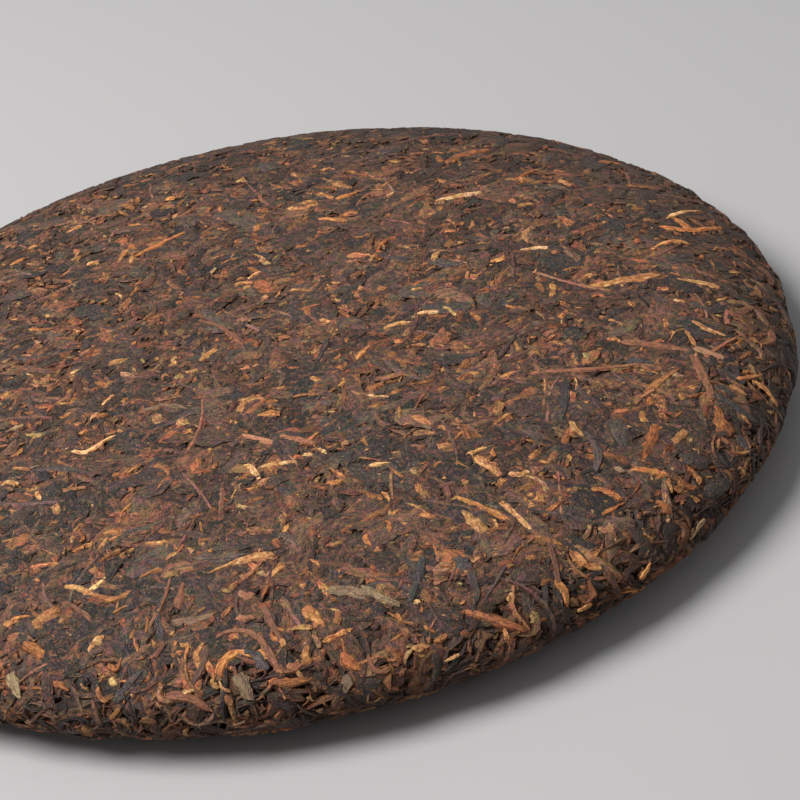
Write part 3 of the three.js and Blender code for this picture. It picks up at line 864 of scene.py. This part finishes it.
goldenLeaves = placeLeaves("goldenLeaves", dict(
    single, seed=101, ragged=0.13, rust=(0.26, 0.105, 0.036), rustShare=0.75, cool=(0.96, 1.0, 0.94),
    warm=(1.10, 0.96, 0.80), mauve=(1.05, 0.92, 1.10), olive=(0.97, 1.04, 0.92), blotchTone=2.0,
    ramp=[(0.20, 0.080, 0.030), (0.38, 0.17, 0.064), (0.60, 0.33, 0.138), (0.84, 0.58, 0.31)],
), dict(
    longSliver=(0.56, 15, (208, 572), (240, 559), (273, 552)),
    sliverFlake=(0.52, 12, (266, 577), (277, 569), (288, 565)),
    yellowScrap=(0.35, 19, (301, 606), (313, 612), (324, 625)),
    leftTan=(0.55, 10, (64, 585), (78, 587), (93, 593)),
    middleStrip=(0.78, 9, (258, 466), (280, 462), (299, 460)),
    middleHook=(0.8, 9, (241, 464), (250, 465), (259, 477)),
    middleFleck=(0.78, 7, (369, 465), (380, 463), (391, 461)),
    backStrip=(0.82, 9, (435, 199), (460, 194), (486, 190)),
    backThread=(1.0, 7, (518, 249), (534, 247), (551, 246)),
    centreFleck=(0.95, 7, (414, 313), (426, 311), (440, 310)),
    centreDrop=(0.72, 6, (443, 304), (457, 315)),
    centreRise=(0.7, 8, (381, 328), (390, 325), (400, 321), (410, 320)),
    rightStraw=(0.5, 15, (583, 286), (620, 280), (660, 272)),
    rightStrawEnd=(0.62, 9, (675, 277), (700, 281), (720, 286)),
    farRight=(0.8, 7, (664, 218), (682, 211), (702, 209)),
    tanFold=(0.6, 13, (476, 454), (487, 463), (499, 474)),
    tanFoldTop=(0.62, 7, (464, 454), (487, 446)),
    tanFoldEnd=(0.75, 8, (508, 472), (519, 474), (529, 470)),
    slopeTan=(0.68, 8, (501, 500), (516, 514), (533, 531)),
    paleFold=(0.48, 16, (461, 508), (472, 518), (484, 531)),
    rightTan=(0.3, 11, (645, 391), (660, 380), (679, 367)),
    leftWave=(0.9, 8, (66, 447), (78, 454), (88, 453), (102, 440), (118, 433)),
    leftFleck=(0.46, 10, (199, 360), (208, 353), (217, 346)),
    backFleck=(0.55, 6, (288, 289), (312, 289)),
    frontFleck=(0.6, 8, (580, 613), (594, 604)),
    crossTip=(0.62, 6, (700, 325), (727, 335)),
    frontHook=(0.4, 7, (203, 642), (195, 654), (197, 663), (203, 672)),
    crossFleck=(0.4, 6, (686, 328), (696, 344)),
    rimSliver=(0.42, 7, (693, 467), (703, 481)),
    rimFleck=(0.45, 7, (730, 383), (747, 393)),
    loopStraw=(0.46, 7, (690, 318), (704, 325), (717, 333)),
    frontCrumb=(0.7, 7, (182, 692), (194, 690)),
    leftBackTip=(0.42, 8, (118, 262), (127, 247)),
    rightChip=(0.58, 8, (571, 419), (575, 428), (583, 434)),
    centreSpeck=(0.85, 6, (319, 318), (330, 321)),
    leftChip=(0.75, 8, (90, 419), (98, 411)),
    leftSliver=(0.82, 6, (101, 405), (107, 399), (115, 393)),
    backSliver=(0.8, 6, (247, 279), (253, 274), (261, 270)),
    backTan=(0.3, 8, (331, 183), (342, 184), (352, 187)),
    rimGrain=(0.8, 5, (445, 662), (452, 659), (460, 654)),
    frontDot=(0.9, 6, (414, 600), (421, 601)),
    edgeFlake=(0.45, 9, (3, 624), (11, 622), (20, 621)),
    centreTan=(0.53, 9, (238, 412), (242, 405), (246, 399)),
    lowerStreak=(0.45, 4, (327, 466), (336, 471), (345, 476)),
    rightTanFlake=(0.45, 12, (672, 442), (679, 436), (686, 429)),
    frontTanFlake=(0.5, 11, (415, 650), (423, 646), (430, 645)),
    paleLine=(0.75, 4, (366, 394), (378, 396), (389, 395)),
    middleDash=(0.85, 6, (301, 454), (313, 453)),
    middleDrop=(0.92, 6, (318, 447), (326, 452)),
    rightDash=(0.75, 5, (673, 298), (686, 301)),
    frontTan=(0.3, 13, (307, 644), (305, 654), (309, 664)),
    curlChip=(0.47, 8, (281, 637), (284, 646)),
    backStroke=(0.45, 7, (557, 178), (565, 181), (574, 185)),
    centreDash=(0.55, 6, (410, 289), (416, 289), (423, 287)),
    edgeStrip=(0.65, 8, (1, 484), (9, 481), (18, 483)),
    edgeStripTop=(0.45, 6, (12, 467), (19, 468), (29, 469)),
    edgeDrop=(0.7, 7, (36, 490), (40, 499)),
    frontLean=(0.18, 8, (221, 616), (228, 610), (235, 603)),
    paleDisc=(0.35, 11, (377, 287), (387, 287)),
    leftPatch=(0.4, 13, (103, 533), (112, 531), (122, 530)),
    cornerTan=(0.14, 13, (22, 641), (33, 648), (44, 656)),
    backDash=(0.72, 7, (86, 264), (92, 262), (99, 260)),
    crossStart=(0.65, 8, (607, 338), (613, 337), (620, 340)),
    middleBlob=(0.45, 9, (299, 585), (307, 586)),
    middleBlobArc=(0.2, 5, (299, 575), (305, 572), (307, 566)),
    hookSide=(0.45, 6, (187, 642), (187, 650), (184, 659)),
    rimVee=(0.2, 7, (96, 685), (97, 695), (103, 702), (112, 695)),
    rimLean=(0.05, 6, (108, 721), (114, 714), (119, 708)),
    farLeftPatch=(0.55, 9, (66, 232), (74, 228), (82, 224)),
    farLeftChip=(0.48, 6, (28, 248), (37, 244)),
    leftBroad=(0.2, 19, (31, 626), (45, 616), (59, 608)),
    plateCurl=(0.6, 5, (616, 434), (622, 427), (631, 425)),
    rimTan=(0.6, 7, (505, 628), (507, 634), (508, 641)),
    centreFold=(0.54, 6, (437, 426), (442, 425), (446, 431)),
    frontTick=(0.25, 4, (424, 624), (430, 629), (436, 632)),
    frontLump=(0.25, 8, (434, 641), (441, 638), (448, 633)),
    rightBackTan=(0.12, 5, (624, 184), (636, 185), (648, 187)),
))

orangeLeaves = placeLeaves("orangeLeaves", dict(
    single, seed=103, rust=(0.12, 0.05, 0.03), rustShare=0.4, twist=0.14,
    cool=(0.94, 1.0, 0.96), warm=(1.12, 0.95, 0.80), mauve=(1.05, 0.92, 1.10), olive=(0.97, 1.06, 0.92),
    blotchTone=1.7,
    ramp=[(0.15, 0.055, 0.025), (0.33, 0.120, 0.044), (0.54, 0.225, 0.075), (0.74, 0.39, 0.14)],
), dict(
    frontArch=(0.72, 12, (217, 674), (221, 660), (231, 652), (245, 652), (256, 656)),
    frontRim=(0.42, 10, (268, 681), (290, 683), (312, 677)),
    frontCurl=(0.47, 6, (284, 629), (272, 628), (270, 636), (279, 640)),
    frontBend=(0.2, 7, (262, 596), (266, 587), (275, 581)),
    frontLeft=(0.42, 7, (107, 663), (116, 670), (121, 656)),
    frontCorner=(0.32, 8, (52, 682), (68, 690)),
    leftTwist=(0.4, 9, (88, 592), (112, 601), (136, 588)),
    leftBack=(0.6, 8, (134, 254), (160, 243), (184, 230)),
    backPatch=(0.27, 13, (445, 160), (466, 153), (489, 148)),
    backStreak=(0.72, 7, (317, 217), (332, 218), (347, 219)),
    backStreakTop=(0.62, 8, (343, 214), (350, 211), (357, 212)),
    backRight=(0.25, 6, (513, 179), (537, 168)),
    backChip=(0.3, 9, (376, 250), (384, 240), (396, 236)),
    farFleck=(0.4, 8, (598, 160), (622, 163)),
    farSwoop=(0.6, 9, (657, 225), (673, 227), (689, 231), (705, 227), (722, 225)),
    farSwoopTop=(0.57, 9, (676, 217), (684, 224), (693, 230)),
    farSwoopLow=(0.75, 6, (652, 248), (666, 241), (678, 239), (690, 243)),
    farChip=(0.42, 10, (559, 214), (566, 219), (573, 224)),
    slopeLong=(0.66, 7, (454, 495), (485, 507), (512, 521)),
    slopeCluster=(0.75, 10, (630, 468), (650, 469), (670, 474)),
    slopeChip=(0.5, 8, (592, 487), (609, 490), (624, 499)),
    slopeChipLow=(0.6, 6, (625, 501), (614, 507), (602, 513)),
    slopeLeaf=(0.12, 9, (602, 452), (614, 455), (628, 461)),
    slopeCurl=(0.5, 9, (555, 578), (566, 590), (569, 607)),
    rightPatch=(0.3, 23, (718, 405), (722, 418), (730, 433)),
    slopeRed=(0.15, 15, (656, 420), (651, 440), (643, 459)),
    rightChip=(0.4, 12, (658, 498), (666, 504), (672, 512)),
    rimStreak=(0.85, 7, (754, 378), (765, 384), (774, 393), (782, 404)),
    rimStreakTop=(0.75, 7, (738, 377), (750, 375), (762, 372)),
    lowRightChip=(0.6, 8, (591, 557), (596, 552), (601, 547)),
    backOrange=(0.62, 8, (335, 197), (345, 195), (356, 191)),
    edgeStreak=(0.6, 5, (9, 619), (20, 617), (29, 615)),
    backDot=(0.85, 9, (165, 198), (175, 196)),
    lowerPatch=(0.65, 9, (326, 482), (335, 481), (343, 479)),
    centreChip=(0.85, 7, (391, 514), (399, 508)),
    centreChipTail=(0.42, 6, (386, 518), (390, 525), (388, 532)),
    centreHook=(0.65, 7, (367, 531), (365, 538), (372, 545)),
    roundPatch=(0.35, 15, (365, 389), (374, 385), (383, 383)),
    rimLeaf=(0.5, 15, (340, 655), (350, 661), (360, 669)),
    centreDashTop=(0.35, 6, (408, 285), (415, 284), (422, 280)),
    farEdge=(0.68, 8, (9, 264), (16, 261), (24, 256)),
    rimBundle=(0.8, 8, (643, 581), (648, 571), (653, 563)),
    rimBundleFoot=(0.6, 5, (623, 594), (635, 592), (648, 594)),
))

twigs = placeLeaves("twigs", dict(
    single, seed=107, stations=12, blunt=(8, 14), tips=(0.4, 0.8), ragged=0.08, flat=(0.45, 0.65), slant=0.2,
    deep=-0.02, thick=0.4, crease=0.02, sink=0.35, rustShare=0.3, foldRelief=0.2,
    cool=(0.90, 1.0, 1.05), warm=(1.13, 0.99, 0.91), mauve=(1.05, 0.92, 1.06), olive=(0.97, 1.06, 0.90),
    ramp=[(0.060, 0.031, 0.022), (0.147, 0.067, 0.042), (0.285, 0.116, 0.062), (0.45, 0.208, 0.115)],
), dict(
    frontArc=(0.65, 10, (212, 640), (220, 631), (238, 629), (257, 633), (268, 650), (277, 666)),
    crossLong=(0.7, 10, (618, 340), (640, 341), (668, 346), (694, 349)),
    crossHead=(1.0, 12, (692, 346), (709, 351), (726, 358)),
    pinkPatch=(0.82, 12, (237, 592), (246, 595), (255, 592)),
    pinkPatchLow=(0.87, 10, (235, 616), (244, 618), (255, 616)),
    crossDown=(0.62, 13, (691, 350), (703, 372), (713, 395)),
    crossUp=(0.77, 7, (703, 357), (722, 344), (741, 333)),
    rightLong=(0.7, 8, (520, 372), (575, 369), (630, 365), (660, 358)),
    backTwig=(0.55, 6, (217, 322), (231, 334), (246, 347)),
    backTwigLow=(0.55, 8, (196, 318), (222, 326), (245, 343)),
    pinkLeft=(1.0, 9, (239, 433), (257, 437), (276, 442)),
    tanLip=(1.0, 5, (640, 396), (648, 392), (656, 387)),
    centrePink=(0.8, 5, (450, 421), (457, 424), (465, 424)),
    pinkRight=(0.82, 9, (276, 434), (296, 438), (316, 443)),
    hook=(0.55, 8, (367, 652), (371, 667), (380, 673), (391, 667)),
    frontStalk=(0.55, 7, (170, 574), (167, 592), (157, 612), (147, 628)),
    frontBar=(0.55, 12, (183, 580), (180, 594), (176, 607)),
    frontSweep=(0.44, 11, (262, 602), (271, 622), (284, 645)),
    frontRoll=(0.55, 12, (165, 695), (190, 698), (212, 712)),
    frontFoot=(0.32, 9, (90, 698), (95, 715), (99, 730)),
    frontLeaf=(0.28, 11, (206, 645), (203, 665), (190, 685)),
    leftArc=(0.45, 8, (60, 600), (75, 606), (95, 622)),
    leftStalk=(0.02, 12, (77, 372), (79, 386), (82, 400)),
    leftStalkFork=(0.2, 8, (77, 378), (73, 391), (68, 402)),
    slopeStalk=(0.3, 7, (560, 590), (556, 560), (548, 540)),
))

darkStrips = placeLeaves("darkStrips", dict(
    single, seed=109, stations=10, width=(1.2, 1.8), rustShare=0.4, roughness=(0.3, 0.5), shine=0.5,
    ramp=[(0.018, 0.014, 0.012), (0.040, 0.028, 0.023), (0.080, 0.048, 0.036), (0.13, 0.072, 0.052)],
), dict(
    frontLeft=(0.4, 13, (142, 668), (127, 684), (112, 702)),
    frontStalk=(0.4, 11, (160, 640), (156, 612), (165, 590)),
    frontBend=(0.68, 12, (236, 655), (250, 650), (268, 668)),
    middleBend=(0.4, 11, (410, 600), (418, 575), (424, 552)),
    rightUpright=(0.28, 12, (566, 376), (565, 398), (560, 420)),
    rightRim=(0.4, 11, (713, 393), (737, 405), (761, 420)),
    rightArc=(0.12, 10, (690, 300), (708, 310), (731, 303)),
    slopeBend=(0.7, 11, (585, 430), (600, 452), (596, 470)),
    slopeStalk=(0.4, 11, (470, 570), (478, 590), (473, 612)),
    backRoll=(0.4, 10, (372, 250), (392, 258), (412, 256)),
    centreArc=(0.4, 9, (330, 330), (322, 352), (309, 372)),
    leftArc=(0.4, 9, (30, 470), (60, 466), (92, 474)),
    rightPlate=(0.55, 24, (617, 415), (620, 432), (624, 449)),
    slopePlate=(0.35, 22, (681, 456), (697, 457), (713, 460)),
    rimPlate=(0.15, 20, (707, 491), (720, 487), (732, 479)),
    rimPlateTop=(0.2, 13, (739, 434), (746, 444), (751, 455)),
    crossPlate=(0.1, 12, (718, 383), (728, 389), (738, 395)),
    betweenPlate=(0.5, 17, (627, 357), (641, 360), (656, 362)),
    backPlate=(0.5, 16, (431, 259), (448, 262), (467, 264)),
    frontPlate=(0.5, 19, (454, 556), (462, 562), (471, 569)),
    middlePlate=(0.8, 17, (279, 532), (288, 536), (298, 541)),
))

paleScraps = placeLeaves("paleScraps", dict(
    single, seed=113, stations=8, width=(1.6, 2.4), blunt=(2, 5), tips=(0.3, 0.9), ragged=0.22,
    flat=(0.6, 0.85), deep=0.03, thick=0.2, sink=0.15,
    rust=(0.18, 0.085, 0.042), rustShare=0.45, grainTone=0.8,
    cool=(0.96, 1.0, 0.94), mauve=(1.05, 0.93, 1.06), olive=(0.98, 1.03, 0.92),
    ramp=[(0.060, 0.046, 0.034), (0.13, 0.098, 0.066), (0.225, 0.163, 0.098), (0.37, 0.265, 0.152)],
), dict(
    middleFront=(0.7, 14, (320, 586), (345, 590), (370, 592)),
    middleFrontEnd=(0.75, 12, (362, 584), (380, 596), (400, 603)),
    frontCup=(0.5, 12, (172, 622), (190, 621), (212, 614)),
    frontPale=(0.62, 17, (236, 674), (244, 686), (249, 700)),
    edgeScrap=(1.0, 14, (8, 672), (13, 684), (18, 698)),
    rimPale=(0.55, 13, (346, 674), (348, 684), (344, 695)),
    edgePale=(0.9, 7, (6, 431), (14, 428), (23, 424)),
    centrePale=(0.3, 12, (318, 470), (338, 464)),
    leftPale=(0.5, 12, (140, 410), (165, 404), (187, 408)),
    rimStraw=(1.0, 7, (693, 541), (700, 530), (708, 519)),
    slopePale=(0.8, 7, (614, 466), (619, 468), (625, 470)),
))

# Attach every piece to the root body, and hide the CAD node
for piece in (
    pressedBody, darkFlakes, brownFlakes, brownStrips, redPatches, leafCrumbs, edgeCurls, edgeThreads,
    goldenBits, stems, goldenLeaves, orangeLeaves, twigs, darkStrips, paleScraps,
):
    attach(piece, "root")
    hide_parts("tea_cake")
